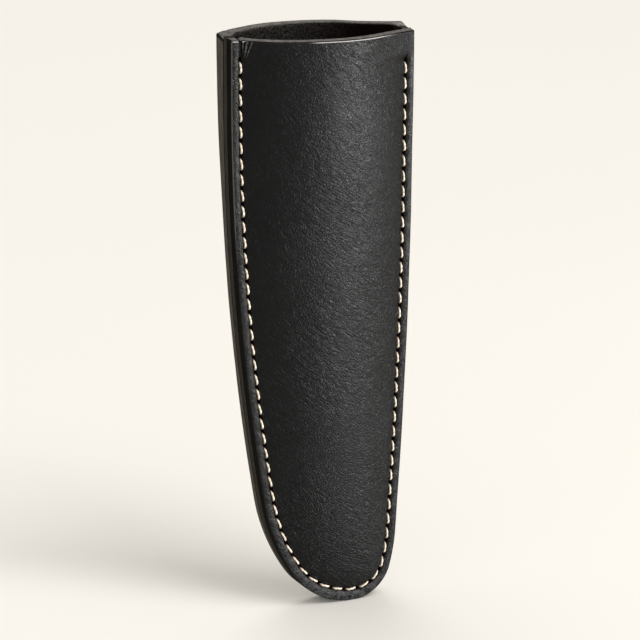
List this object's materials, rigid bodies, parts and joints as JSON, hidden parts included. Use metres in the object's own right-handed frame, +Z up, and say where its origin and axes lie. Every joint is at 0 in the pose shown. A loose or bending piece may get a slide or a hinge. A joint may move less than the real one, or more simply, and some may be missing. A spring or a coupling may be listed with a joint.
{
  "type": "knife blade guard",
  "caption": "Tapered leather sheath for a kitchen knife: two formed panels saddle stitched over an edge welt, open at the mouth.",
  "frame": {"origin": "bottom centre of the box: the tip's lowest line is at z = 0, the box is centred in X and Y", "axes": "+Z up from the tip to the mouth, +X from the cutting edge side to the spine side, -Y out of the front panel"},
  "size_m": [0.062, 0.0265, 0.188],
  "materials": {
    "front_leather": "black dyed smooth-grain leather, satin, burnished edges",
    "back_leather": "black dyed smooth-grain leather, satin, burnished edges",
    "welt_leather": "black edge-dyed leather, burnished",
    "waxed_thread": "natural waxed linen thread"
  },
  "bodies": {
    "root": {"front_panel": "front_leather", "back_panel": "back_leather", "edge_welt": "welt_leather", "saddle_stitch_thread": "waxed_thread"}
  },
  "joints": []
}
